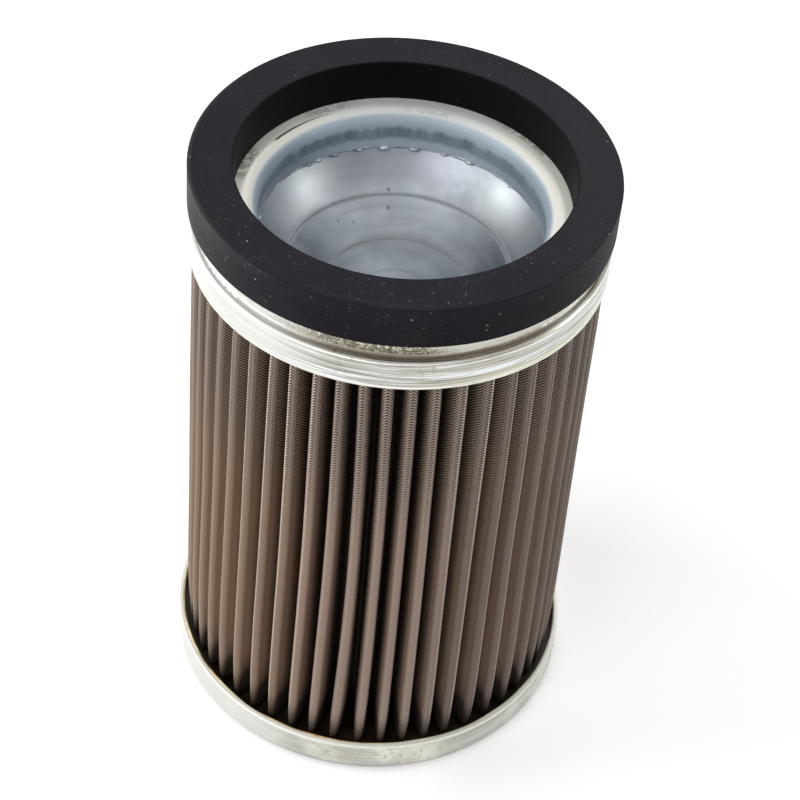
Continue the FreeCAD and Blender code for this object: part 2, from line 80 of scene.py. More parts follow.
# The nodes of one material, or of the world
class Finish:
    def __init__(self, name, owner=None):
        self.owner = owner or bpy.data.materials.new(name)
        self.owner.use_nodes = True
        self.nodes = self.owner.node_tree.nodes
        self.links = self.owner.node_tree.links
        self.nodes.clear()

    # Any node: its settings first, then the values or wires of its sockets
    def add(self, kind, settings=None, sockets=None, out=0):
        node = self.nodes.new(kind)
        for name, value in (settings or {}).items():
            setattr(node, name, value)
        for name, value in (sockets or {}).items():
            socket = node.inputs[name]
            if isinstance(value, Wire):
                self.links.new(value.socket, socket)
            elif socket.type == "RGBA":
                socket.default_value = (*value, 1.0)
            else:
                socket.default_value = value
        return Wire(self, node.outputs[out]) if len(node.outputs) else None

    def calc(self, operation, *values):
        return self.add("ShaderNodeMath", {"operation": operation}, dict(enumerate(values)))

    def place(self):
        return self.add("ShaderNodeTexCoord", out="Object")

    def stretch(self, vector, scale):
        return self.add("ShaderNodeVectorMath", {"operation": "MULTIPLY"}, {0: vector, 1: scale})

    # The three coordinates of a place in millimetres
    def millimetres(self, place):
        split = self.add("ShaderNodeSeparateXYZ", None, {0: self.stretch(place, (1 / mm,) * 3)})
        return [split.also(index) for index in range(3)]

    def joined(self, x, y, z):
        return self.add("ShaderNodeCombineXYZ", None, {0: x, 1: y, 2: z})

    def grain(self, vector, scale, detail, roughness=0.55):
        sockets = {"Vector": vector, "Scale": scale, "Detail": detail, "Roughness": roughness}
        return self.add("ShaderNodeTexNoise", None, sockets)

    # Sparse round specks: the mask is 1 in the middle of some cells
    def specks(self, vector, scale, size, share):
        cells = self.add("ShaderNodeTexVoronoi", None, {"Vector": vector, "Scale": scale})
        lot = self.add("ShaderNodeSeparateColor", None, {0: cells.also("Color")})
        return self.rise(cells, size, size * 0.5) * self.rise(lot, 1 - share, 1 - share + 0.01)

    # 0 below low, 1 above high, smooth between; low may be above high
    def rise(self, value, low, high):
        settings = {"interpolation_type": "SMOOTHSTEP"}
        return self.add("ShaderNodeMapRange", settings, {0: value, 1: low, 2: high})

    # 1 inside the band, 0 outside, with soft edges
    def band(self, value, low, high, soft):
        return self.rise(value, low - soft, low + soft) * self.rise(value, high + soft, high - soft)

    def tint(self, factor, first, second):
        return self.add("ShaderNodeMix", {"data_type": "RGBA"}, {0: factor, 6: first, 7: second}, 2)

    # The distance is in millimetres
    def bump(self, height, strength, distance):
        sockets = {"Height": height, "Strength": strength, "Distance": distance * mm}
        return self.add("ShaderNodeBump", None, sockets)

    def surface(self, sockets):
        shader = self.add("ShaderNodeBsdfPrincipled", None, sockets)
        self.add("ShaderNodeOutputMaterial", None, {"Surface": shader})
        return self.owner


def axisDistance(x, y):
    return (x * x + y * y) ** 0.5


# In these dictionaries a pair is where a mask starts and where it is full, and a third
# number is the softness of a band's edges. Places and radii are in millimetres, x to the
# right, y to the back and z up; turns are in radians from the right, anticlockwise from
# above. Pairs between 0 and 1 are levels of a noise. A bump is a strength and a depth.
rubber = {
    "colour": (0.0108, 0.0102, 0.0150),
    # a pale colour for chalk clouds, and for painted sheen
    "chalkAndSheen": (0.027, 0.0235, 0.031),
    "dustColour": (0.46, 0.42, 0.37),
    # a brown for smears, and for painted sheen on the far left
    "smearAndSheenColour": (0.075, 0.064, 0.055),
    # a near black for painted shade
    "deepShade": (0.0015, 0.0016, 0.0028),
    "roughness": 0.58,
    "roughnessVaries": 0.25,
    "specular": 0.075,
    "bump": (0.35, 0.2),
    "heights": {"fine": 0.5, "cloud": 1.2, "dust": 0.6},
    "scale": {"cloud": 55, "fine": 1400, "worn": 900},
    "specks": ((480, 0.12, 0.36, 1.0), (950, 0.15, 0.30, 0.7)),  # scale, size, share, strength
    "front": (30.0, -34.0),
    "backDirt": 0.35,  # dirt at the back, as a share of that at the front
    "dusty": (0.34, 0.52),
    "smeared": (0.44, 0.60),
    "scuffed": (0.50, 0.70),
    "cloudy": (0.35, 0.75),
    "rubbedRadius": (43.35, 43.75, 0.2),
    "rubbedFront": (-38.0, -42.0),
    "rubbedWear": (0.42, 0.60),
    "topFace": (143.0, 143.4),
    "outside": (44.0, 44.6),
    "right": (22.0, 40.0),
    "left": (-26.0, -42.0),
    "farLeft": (-28.0, -44.0),
    "bore": (36.2, 35.7),
    "low": (142.5, 138.5),
    "lowRadius": (44.0, 44.8),
    "strength": {"cloud": 0.5, "topRight": 0.45, "left": 0.8, "farLeft": 0.32, "smear": 0.5,
                 "rubbed": 0.25, "dust": 0.9, "bore": 0.85, "low": 0.35},
}


def rubberFinish():
    look, strength, scale = rubber, rubber["strength"], rubber["scale"]
    f = Finish("blackRubber")
    at = f.place()
    x, y, z = f.millimetres(at)
    radius = axisDistance(x, y)
    cloud = f.grain(at, scale["cloud"], 4)
    fine = f.grain(at, scale["fine"], 3)
    worn = f.grain(f.stretch(at, (1.0, 1.0, 3.0)), scale["worn"], 5, 0.75)
    front = look["backDirt"] + f.rise(y, *look["front"]) * (1 - look["backDirt"])
    dust = 0.0
    for speckScale, size, share, weight in look["specks"]:
        dust = dust + f.specks(at, speckScale, size, share) * weight
    dust = dust * f.rise(cloud, *look["dusty"]) * front
    smear = f.rise(cloud, *look["smeared"]) * f.rise(worn, *look["scuffed"]) * front
    # a rubbed line just inside the outer edge, at the front
    rubbed = f.band(radius, *look["rubbedRadius"]) * f.rise(y, *look["rubbedFront"])
    rubbed = rubbed * f.rise(worn, *look["rubbedWear"])
    # painted sheen: the right of the top face and the left of the outside are paler, and the far
    # left of the outside is tinted brown
    outside = f.rise(radius, *look["outside"])
    topRight = f.rise(x, *look["right"]) * f.rise(z, *look["topFace"]) * strength["topRight"]
    left = f.rise(x, *look["left"]) * outside * strength["left"]
    farLeft = f.rise(x, *look["farLeft"]) * outside * strength["farLeft"]
    chalk = f.rise(cloud, *look["cloudy"]) * strength["cloud"]
    colour = f.tint(chalk, look["colour"], look["chalkAndSheen"])
    colour = f.tint(topRight + left, colour, look["chalkAndSheen"])
    # painted sheen on the far left of the outside
    colour = f.tint(farLeft, colour, look["smearAndSheenColour"])
    dirt = smear * strength["smear"] + rubbed * strength["rubbed"]
    colour = f.tint(dirt, colour, look["smearAndSheenColour"])
    colour = f.tint(dust * strength["dust"], colour, look["dustColour"])
    # painted shade: the bore and the lower part of the outside are darker than the top face
    low = f.rise(z, *look["low"]) * f.rise(radius, *look["lowRadius"]) * strength["low"]
    hidden = f.rise(radius, *look["bore"]) * strength["bore"] + low
    colour = f.tint(hidden, colour, look["deepShade"])
    weights = look["heights"]
    height = fine * weights["fine"] + cloud * weights["cloud"] + dust * weights["dust"]
    return f.surface({
        "Base Color": colour,
        "Roughness": look["roughness"] + (cloud - 0.5) * look["roughnessVaries"],
        "Specular IOR Level": look["specular"],
        "Normal": f.bump(height, *look["bump"]),
    })


zinc = {
    "colour": (0.47, 0.455, 0.40),
    "streak": (0.80, 0.845, 0.865),
    "glare": (0.74, 0.74, 0.71),
    "drawn": (0.20, 0.19, 0.155),
    "fleck": (0.66, 0.645, 0.52),
    "pit": (0.20, 0.18, 0.13),
    # dirt, also used for painted shade in the groove
    "grooveDirtAndShade": (0.185, 0.145, 0.10),
    "lip": (0.95, 0.95, 0.86),
    "olive": (0.74, 0.76, 0.50),
    # painted shade at the back of the lip
    "lipBackShade": (0.80, 0.85, 0.90),
    # painted reflections on the neck, and painted shade at its sides
    "neckPaleReflection": (0.51, 0.61, 0.70),
    "neckShadeAndReflection": (0.19, 0.235, 0.275),
    "seamReflection": (0.62, 0.68, 0.80),
    "dark": (0.06, 0.06, 0.055),
    "roughness": 0.36,
    "roughnessVaries": 0.25,
    "bump": (0.45, 0.14),
    "heights": {"roll": 0.8, "speckle": 0.25, "shoulder": 0.9, "rough": 1.2, "patches": 0.6},
    # how much less metallic, and how much rougher, each place is
    "dull": {"shoulder": 0.40, "glare": 0.35, "right": 0.25, "inside": 0.90, "rimEdgeHighlight": 0.9},
    "rougher": {"groove": 0.2, "shoulder": 0.12, "neck": 0.15},
    "scale": {"patches": 120, "speckle": 1500, "coarse": 620},
    # roll lines of the skirt and the rim: long round the part, short up it
    "roll": (42.0, 42.0, 2000.0),
    "fineRoll": (25.0, 25.0, 3800.0),
    "fineRollStrength": 0.8,
    "rollPale": (0.51, 0.62),
    "rollDark": (0.46, 0.37),
    "skirt": (20.0, 40.0),
    "rimRoll": 0.35,  # how strong the roll lines are on the bottom rim
    "rollEnds": (130.0, 131.2),
    "lowestLine": (122.2, 122.7, 0.2),
    "pits": (700, 0.16, 0.10),
    "rimPale": (0.40, 0.72),
    "stained": (0.45, 0.60),
    "stainGrain": (0.55, 0.70),
    "shoulder": (129.75, 130.15),
    "shoulderRadius": (40.0, 40.4),
    "shoulderRagged": 0.5,
    "shoulderGrain": (0.46, 0.60),
    "groove": (128.9, 129.85, 0.3),
    "grooveRagged": 0.6,
    "grooveOuter": (43.9, 43.4),
    "grooveInner": (40.5, 41.0),
    "grooveFront": (-20.0, -34.0),
    "grooveBack": 0.25,  # dirt and painted shade at the back, as a share of that at the front
    "left": (-10.0, -26.0),
    "leftBack": (24.0, 6.0),
    "right": (6.0, 16.0),
    "oliveRight": (0.0, 30.0),
    "oliveLine": (122.2, 124.0, 1.2),
    # a painted highlight on the rim's upper edge, then a painted contact shadow at its foot
    "rimEdgeHighlight": (7.8, 9.5, 0.3),
    "contactShadow": (1.5, 1.0),
    # the ring inside the rubber
    "inside": (36.2, 35.8),
    "roughTurnsLeft": ((2.74, 3.06, 0.08), (1.95, 2.26, 0.10)),
    "roughRadiusLeft": (33.1, 33.6),
    "roughTurnRight": (0.55, 1.05, 0.12),
    "roughRadiusRight": (34.1, 34.9),
    "roughRagged": (1.4, 1.6),  # left and right
    "roughGrain": (0.60, 0.46),
    "crackTurn": (2.12, 2.60, 0.03),
    "crackOpens": (2.08, 2.58),
    "crackRadius": (32.95, 33.10, 0.10),
    "crackWidening": (0.12, 0.22),
    "smudgeTurn": (1.24, 1.62, 0.08),
    "smudgeRadius": (31.8, 32.9, 0.4),
    "smudgeGrain": (0.40, 0.60),
    "back": (22.0, 34.0),
    "runs": (300.0, 300.0, 60.0),
    "runLength": 3.6,
    "runGrain": (0.62, 0.38),
    "runLeast": 0.62,  # how dark the band is between the runs
    "neck": (133.1, 132.4),
    "neckBand": (126.9, 129.8, 0.7),
    "seam": (126.8, 125.8),
    "seamRagged": 0.3,  # as a share of the runs above it
    # painted shade: the neck is darker at both sides: heights, and the square of x
    "sideLow": ((130.6, 128.8), (120.0, 500.0)),
    "sideHigh": ((133.3, 131.8), (300.0, 700.0)),
    "strength": {"streak": 1.0, "drawn": 0.68, "lowestLine": 0.7, "pits": 0.7, "rimPale": 0.8,
                 "stain": 0.55, "glare": 0.8, "rightShoulderHighlight": 0.9, "olive": 0.5,
                 "rimEdgeHighlight": 0.9, "contactShadow": 0.8, "rough": 0.62, "smudge": 0.5,
                 "lipBackShade": 0.6, "neckBand": 0.92, "seam": 0.55, "sideLow": 0.3,
                 "sideHigh": 0.45},
}


# The skirt, the groove, the shoulder and the bottom rim
def zincOutside(f, at, x, y, z, radius, noises):
    look, strength = zinc, zinc["strength"]
    patches, speckle, coarse, roll = noises
    upper = look["rimRoll"] + f.rise(z, *look["skirt"]) * (1 - look["rimRoll"])
    pale = f.rise(roll, *look["rollPale"]) * upper * strength["streak"]
    colour = f.tint(pale, look["colour"], look["streak"])
    drawn = f.rise(roll, *look["rollDark"]) * strength["drawn"] * upper
    colour = f.tint(drawn, colour, look["drawn"])
    # the lowest line of the skirt is rolled in, with a painted highlight along it; small pits lie
    # above it
    lowestHighlight = f.band(z, *look["lowestLine"]) * strength["lowestLine"]
    colour = f.tint(lowestHighlight, colour, look["lip"])
    colour = f.tint(f.specks(at, *look["pits"]) * strength["pits"], colour, look["drawn"])
    rimPale = (1 - upper) * f.rise(patches, *look["rimPale"]) * strength["rimPale"]
    colour = f.tint(rimPale, colour, look["lip"])
    stain = f.rise(coarse, *look["stainGrain"]) * f.rise(patches, *look["stained"])
    colour = f.tint(stain * strength["stain"], colour, look["drawn"])
    # the rounded shoulder is grained, and the groove below it holds dirt and painted shade
    shoulder = f.rise(z + (coarse - 0.5) * look["shoulderRagged"], *look["shoulder"])
    shoulder = shoulder * f.rise(radius, *look["shoulderRadius"])
    grained = f.tint(f.rise(speckle, *look["shoulderGrain"]), look["pit"], look["fleck"])
    colour = f.tint(shoulder, colour, grained)
    groove = f.band(z + (coarse - 0.5) * look["grooveRagged"], *look["groove"])
    groove = groove * f.rise(radius, *look["grooveOuter"]) * f.rise(radius, *look["grooveInner"])
    front = look["grooveBack"] + f.rise(y, *look["grooveFront"]) * (1 - look["grooveBack"])
    groove = groove * front
    colour = f.tint(groove * (0.60 + speckle * 0.6), colour, look["grooveDirtAndShade"])
    # painted light: both sides are paler than the front, with a painted glare at the left and a
    # painted highlight on the right of the shoulder
    rightShoulderHighlight = shoulder * f.rise(x, *look["right"])
    glare = f.rise(x, *look["left"]) * f.rise(y, *look["leftBack"]) + rightShoulderHighlight
    colour = f.tint(glare * strength["glare"], colour, look["glare"])
    colour = f.tint(rightShoulderHighlight * strength["rightShoulderHighlight"], colour, look["lip"])
    olive = f.rise(x, *look["oliveRight"]) * f.band(z, *look["oliveLine"]) * strength["olive"]
    colour = f.tint(olive, colour, look["olive"])
    # the bottom rim has a painted highlight on its upper edge and a painted contact shadow where it
    # stands on its base
    rimEdgeHighlight = f.band(z, *look["rimEdgeHighlight"])
    colour = f.tint(rimEdgeHighlight * strength["rimEdgeHighlight"], colour, look["lip"])
    contactShadow = f.rise(z, *look["contactShadow"]) * strength["contactShadow"]
    colour = f.tint(contactShadow, colour, look["dark"])
    less = look["dull"]
    dull = shoulder * less["shoulder"] + glare * less["glare"] + rightShoulderHighlight * less["right"]
    return colour, shoulder, groove, rimEdgeHighlight, dull


# The bright lip inside the rubber, with rough patches and a crack beside it, and painted shade at
# its back
def zincLip(f, y, radius, angle, coarse):
    look, strength = zinc, zinc["strength"]
    first, second = look["roughTurnsLeft"]
    raggedLeft, raggedRight = look["roughRagged"]
    left = f.band(angle, *first) + f.band(angle, *second)
    left = left * f.rise(radius + (coarse - 0.5) * raggedLeft, *look["roughRadiusLeft"])
    right = f.band(angle, *look["roughTurnRight"])
    right = right * f.rise(radius + (coarse - 0.5) * raggedRight, *look["roughRadiusRight"])
    rough = (left + right) * f.rise(coarse, *look["roughGrain"])
    colour = f.tint(rough * strength["rough"], look["lip"], look["pit"])
    opened = f.rise(angle, *look["crackOpens"])
    inner, outer, soft = look["crackRadius"]
    innerWidening, outerWidening = look["crackWidening"]
    crack = f.band(radius, inner - opened * innerWidening, outer + opened * outerWidening, soft)
    crack = crack * f.band(angle, *look["crackTurn"])
    smudge = f.band(angle, *look["smudgeTurn"]) * f.band(radius, *look["smudgeRadius"])
    smudge = smudge * f.rise(coarse, *look["smudgeGrain"]) * strength["smudge"]
    colour = f.tint(smudge, colour, look["grooveDirtAndShade"])
    colour = f.tint(crack, colour, look["dark"])
    # painted shade: the back of the lip is darker and bluer
    colour = f.tint(f.rise(y, *look["back"]) * strength["lipBackShade"], colour, look["lipBackShade"])
    return colour, rough


# The neck below the lip, painted with reflections: a pale band, a dark band that runs down unevenly
# and a pale band at its foot, and painted shade at both sides
def zincNeck(f, at, x, z, inside, colour):
    look, strength = zinc, zinc["strength"]
    runs = f.grain(f.stretch(at, look["runs"]), 1.0, 4, 0.6)
    notch = (runs - 0.5) * look["runLength"]
    down = inside * f.rise(z, *look["neck"])
    colour = f.tint(down, colour, look["neckPaleReflection"])
    shade = inside * f.band(z + notch, *look["neckBand"])
    least = look["runLeast"]
    shade = shade * (least + f.rise(runs, *look["runGrain"]) * (1 - least))
    colour = f.tint(shade * strength["neckBand"], colour, look["neckShadeAndReflection"])
    seam = inside * f.rise(z - notch * look["seamRagged"], *look["seam"])
    colour = f.tint(seam * strength["seam"], colour, look["seamReflection"])
    for side in ("sideLow", "sideHigh"):
        height, width = look[side]
        shade = inside * f.rise(z, *height) * f.rise(x * x, *width)
        colour = f.tint(shade * strength[side], colour, look["neckShadeAndReflection"])
    return colour, down


def zincFinish():
    look, scale = zinc, zinc["scale"]
    f = Finish("zincPlate")
    at = f.place()
    x, y, z = f.millimetres(at)
    radius = axisDistance(x, y)
    angle = f.calc("ARCTAN2", y, x)
    patches = f.grain(at, scale["patches"], 4)
    speckle = f.grain(at, scale["speckle"], 3, 0.7)
    coarse = f.grain(at, scale["coarse"], 4, 0.65)
    roll = f.grain(f.stretch(at, look["roll"]), 1.0, 4, 0.6)
    fineRoll = f.grain(f.stretch(at, look["fineRoll"]), 1.0, 2)
    roll = roll + (fineRoll - 0.5) * look["fineRollStrength"]
    noises = (patches, speckle, coarse, roll)
    colour, shoulder, groove, rimEdgeHighlight, dull = zincOutside(f, at, x, y, z, radius, noises)
    inside = f.rise(radius, *look["inside"])
    lip, rough = zincLip(f, y, radius, angle, coarse)
    colour = f.tint(inside, colour, lip)
    colour, down = zincNeck(f, at, x, z, inside, colour)
    flat = 1 - f.rise(z, *look["rollEnds"])  # the roll lines end at the shoulder
    weights, less, more = look["heights"], look["dull"], look["rougher"]
    grain = weights["speckle"] + shoulder * weights["shoulder"] + rough * weights["rough"]
    height = roll * flat * weights["roll"] + speckle * grain + patches * weights["patches"]
    varied = (patches - 0.5) * look["roughnessVaries"]
    varied = varied + groove * more["groove"] + shoulder * more["shoulder"] + down * more["neck"]
    return f.surface({
        "Base Color": colour,
        "Metallic": 1.0 - inside * less["inside"] - rimEdgeHighlight * less["rimEdgeHighlight"] - dull * (1 - inside),
        "Roughness": look["roughness"] + varied,
        "Normal": f.bump(height, *look["bump"]),
    })


dish = {
    "colour": (0.285, 0.325, 0.36),
    "pale": (0.43, 0.475, 0.51),
    "mauve": (0.235, 0.235, 0.275),
    # the colour of a painted mottled highlight
    "mottledHighlight": (0.66, 0.72, 0.77),
    "dark": (0.085, 0.09, 0.11),
    # a pale colour for painted light at the sides, the back and the ring creases
    "side": (0.74, 0.785, 0.81),
    "roughness": 0.39,
    "roughnessVaries": 0.25,
    "bump": (0.25, 0.14),
    "heights": {"drawn": 0.8, "cloud": 0.9},
    "scale": {"cloud": 75, "broad": 34, "mottle": 380, "drawnRound": 0.02, "drawnOut": 0.33},
    "cloudPale": (0.40, 0.68),
    "broadMauve": (0.48, 0.64),
    "drawnDark": (0.52, 0.34),
    "drawnPale": (0.52, 0.70),
    "mottled": (0.42, 0.70),
    "mottleRadius": (22.5, 27.5),
    "mottleRight": (0.15, 1.25, 0.35),
    "mottleLeft": (2.2, 3.0, 0.2),
    "mottleShares": (0.25, 0.75, 0.4),  # everywhere, and more at the right and the left
    "sides": (120.0, 450.0),  # the square of x
    "sidesRadius": (23.2, 26.2),
    "paleBack": (4.0, 20.0),
    "darkFront": (20.5, 12.0),
    "backTurn": (1.10, 2.20, 0.25),
    "backRadius": (24.5, 28.0),
    "rings": (24.2, 15.5),  # radii of the two drawn steps
    "ringWidth": (-0.5, 0.3, 0.3),
    "ringDull": 0.2,
    "ringRougher": 0.4,
    "streakTurn": (2.86, 2.96, 0.05),
    "streakRadius": (18.5, 22.5),
    "spotEdge": (0.85, 0.3),  # as shares of a spot's width
    "spotRagged": 1.5,
    # radius, turn in degrees and width of each dark spot
    "spots": ((24.9, 98, 0.42), (21.7, 98.5, 0.55), (21.2, 131, 0.5), (19.9, 122, 0.4),
              (24.2, 129, 0.5), (3.0, -27, 0.7)),
    "strength": {"mauve": 0.7, "drawnDark": 0.26, "drawnPale": 0.22, "mottle": 0.45,
                 "sides": 0.68, "paleBack": 0.13, "darkFront": 0.30, "back": 0.55,
                 "rings": 0.38, "streak": 0.65, "spots": 0.65},
}


def dishFinish():
    look, strength, scale = dish, dish["strength"], dish["scale"]
    f = Finish("zincDish")
    at = f.place()
    x, y = f.millimetres(at)[:2]
    radius = axisDistance(x, y)
    angle = f.calc("ARCTAN2", y, x)
    cloud = f.grain(at, scale["cloud"], 4)
    broad = f.grain(at, scale["broad"], 3)
    # faint rings from the drawing: long round the dish, short outwards
    around = scale["drawnRound"]
    drawn = f.grain(f.joined(x * around, y * around, radius * scale["drawnOut"]), 1.0, 2)
    colour = f.tint(f.rise(cloud, *look["cloudPale"]), look["colour"], look["pale"])
    colour = f.tint(f.rise(broad, *look["broadMauve"]) * strength["mauve"], colour, look["mauve"])
    dark = f.rise(drawn, *look["drawnDark"]) * strength["drawnDark"]
    colour = f.tint(dark, colour, look["dark"])
    pale = f.rise(drawn, *look["drawnPale"]) * strength["drawnPale"]
    colour = f.tint(pale, colour, look["pale"])
    # painted highlight: mottled pale patches on the outer wall, more at the right and the left
    mottle = f.rise(f.grain(at, scale["mottle"], 5, 0.75), *look["mottled"])
    mottle = mottle * f.rise(radius, *look["mottleRadius"])
    everywhere, atRight, atLeft = look["mottleShares"]
    right = f.band(angle, *look["mottleRight"]) * atRight
    left = f.band(angle, *look["mottleLeft"]) * atLeft
    mottle = mottle * (everywhere + right + left)
    colour = f.tint(mottle * strength["mottle"], colour, look["mottledHighlight"])
    # painted light: paler at both sides and at the back; painted shade: darker at the front; and
    # mauve below the seam
    sides = f.rise(x * x, *look["sides"]) * f.rise(radius, *look["sidesRadius"])
    colour = f.tint(sides * strength["sides"], colour, look["side"])
    paleBack = f.rise(y, *look["paleBack"]) * strength["paleBack"]
    colour = f.tint(paleBack, colour, look["side"])
    darkFront = f.rise(y, *look["darkFront"]) * strength["darkFront"]
    colour = f.tint(darkFront, colour, look["dark"])
    back = f.band(angle, *look["backTurn"]) * f.rise(radius, *look["backRadius"])
    colour = f.tint(back * strength["back"], colour, look["mauve"])
    inwards, outwards, soft = look["ringWidth"]
    creases = 0.0
    # painted light: each ring crease is tinted pale
    for ring in look["rings"]:
        crease = f.band(radius, ring + inwards, ring + outwards, soft)
        colour = f.tint(crease * strength["rings"], colour, look["side"])
        creases = creases + crease
    # painted highlight: a pale streak on the left wall
    streak = f.band(angle, *look["streakTurn"]) * f.rise(radius, *look["streakRadius"])
    colour = f.tint(streak * strength["streak"], colour, look["pale"])
    outer, inner = look["spotEdge"]
    for distance, turn, width in look["spots"]:
        along = x - distance * math.cos(math.radians(turn))
        away = y - distance * math.sin(math.radians(turn))
        reach = axisDistance(along, away) + (cloud - 0.5) * look["spotRagged"]
        spot = f.rise(reach, width * outer, width * inner)
        colour = f.tint(spot * strength["spots"], colour, look["dark"])
    height = drawn * look["heights"]["drawn"] + cloud * look["heights"]["cloud"]
    varied = (cloud - 0.5) * look["roughnessVaries"]
    return f.surface({
        "Base Color": colour,
        "Metallic": 1.0 - creases * look["ringDull"],
        "Roughness": look["roughness"] + varied + creases * look["ringRougher"],
        "Normal": f.bump(height, *look["bump"]),
    })


cloth = {
    # the tips' two colours are painted shade, darker than the flanks
    "shadedRidge": (0.29, 0.215, 0.175),
    "sideRidgeShade": (0.086, 0.062, 0.052),
    "flank": (0.42, 0.295, 0.235),
    "olive": (0.375, 0.278, 0.20),
    "warm": (0.37, 0.245, 0.14),
    # the colour of a painted highlight along each fold
    "crestHighlight": (0.90, 0.79, 0.70),
    "gapShade": (0.022, 0.018, 0.016),
    "wireGlint": (0.68, 0.57, 0.49),
    "metallic": 0.35,
    "specular": 0.2,
    "roughness": 0.46,
    "roughnessVaries": 0.2,
    "bump": (0.7, 0.25),
    "heights": {"thread": 0.3, "fine": 0.12},  # as shares of the wires'
    "cloud": (60.0, 60.0, 7.0),
    "fineScale": 2600,
    "wirePitch": 0.75,
    "threadPitch": 0.52,
    "slope": 1.08,
    "tipDrop": 0.75,
    "tipDropWidth": (0.3, 1.6),
    "tipRound": 0.35,
    "sharpHeight": (70.0, 112.0),
    "sharpLeast": 0.16,
    # distances from the tip of a fold along the cloth
    "tip": (2.8, 0.8),
    "deepShade": (2.1, 7.6),
    "deepRougher": 0.3,
    "aside": (80.0, 500.0),  # the square of x
    "foot": (24.0, 8.5),
    "footFlank": (0.5, 2.4),
    "footTip": (17.5, 10.0),
    "left": (0.0, -24.0),
    "cloudy": (0.38, 0.62),
    "highlightOffset": 0.6,
    "highlightSides": (-400.0, 400.0),  # x times y, where the line changes sides
    "highlightLine": (-0.26, 0.26, 0.12),
    "highlightAside": (30.0, 400.0),
    "highlightLeast": 0.30,  # how bright it is where the wires don't show
    "highlightBetween": 0.72,  # how bright it is between the wires
    "wireTops": (0.62, 0.95),
    "wireGaps": (0.55, 0.12),
    "threadGaps": (0.3, 0.0),
    "strength": {"tip": 0.8, "warm": 0.42, "wireGlint": 0.7, "wireGap": 0.88,
                 "threadGap": 0.45, "deepShade": 0.93, "foot": 0.9, "footTip": 0.75},
}


# The weave's own coordinates run across the cloth from a fold's tip and up it: the wires
# run down from the tip on both sides, and show most near the top
def clothFinish():
    look, strength = cloth, cloth["strength"]
    f = Finish("wireCloth")
    across, up = f.millimetres(f.add("ShaderNodeTexCoord", out="UV"))[:2]
    at = f.place()
    x, y, z = f.millimetres(at)
    fromTip = (across * across + look["tipRound"] ** 2) ** 0.5
    drop = fromTip * look["slope"] + f.rise(fromTip, *look["tipDropWidth"]) * look["tipDrop"]
    wire = f.calc("SINE", (up + drop) * (math.tau / look["wirePitch"])) * 0.5 + 0.5
    thread = f.calc("SINE", fromTip * (math.tau / look["threadPitch"])) * 0.5 + 0.5
    least = look["sharpLeast"]
    sharp = least + f.rise(up, *look["sharpHeight"]) * (1 - least)
    cloud = f.grain(f.stretch(at, look["cloud"]), 1.0, 4)
    fine = f.grain(at, look["fineScale"], 2)
    tip = f.rise(fromTip, *look["tip"])
    deepShade = f.rise(fromTip, *look["deepShade"])
    aside = f.rise(x * x, *look["aside"])
    colour = f.tint(f.rise(cloud, *look["cloudy"]), look["flank"], look["olive"])
    # painted shade: the folds' tips are darker than their flanks, and darker still at the sides
    shadedRidge = f.tint(aside, look["shadedRidge"], look["sideRidgeShade"])
    colour = f.tint(tip * strength["tip"], colour, shadedRidge)
    colour = f.tint(f.rise(x, *look["left"]) * strength["warm"], colour, look["warm"])
    # a painted highlight along each fold, on the side that stands out
    outer = across - (1 - f.rise(x * y, *look["highlightSides"]) * 2) * look["highlightOffset"]
    crestHighlight = f.band(outer, *look["highlightLine"]) * f.rise(x * x, *look["highlightAside"])
    least, betweenWires = look["highlightLeast"], look["highlightBetween"]
    crestHighlight = crestHighlight * (least + sharp * (1 - least)) * (betweenWires + wire * (1 - betweenWires))
    colour = f.tint(crestHighlight, colour, look["crestHighlight"])
    # painted highlight on the tops of the wires
    wireGlint = f.rise(wire, *look["wireTops"]) * sharp * strength["wireGlint"]
    colour = f.tint(wireGlint, colour, look["wireGlint"])
    # painted shade darkens the gaps between the wires, the depth between the folds and the foot;
    # the gaps between the wires are also the weave's own pattern
    foot = f.rise(z, *look["foot"]) * f.rise(fromTip, *look["footFlank"])
    foot = foot + f.rise(z, *look["footTip"]) * strength["footTip"]
    for gapShade in (
        f.rise(wire, *look["wireGaps"]) * sharp * strength["wireGap"],
        f.rise(thread, *look["threadGaps"]) * sharp * tip * strength["threadGap"],
        deepShade * strength["deepShade"],
        f.calc("MINIMUM", foot, 1.0) * strength["foot"],
    ):
        colour = f.tint(gapShade, colour, look["gapShade"])
    weights = look["heights"]
    height = wire * sharp + thread * weights["thread"] * sharp + fine * weights["fine"]
    varied = (cloud - 0.5) * look["roughnessVaries"]
    return f.surface({
        "Base Color": colour,
        "Metallic": look["metallic"],
        "Specular IOR Level": look["specular"],
        "Roughness": look["roughness"] + varied + deepShade * look["deepRougher"],
        "Normal": f.bump(height, *look["bump"]),
    })


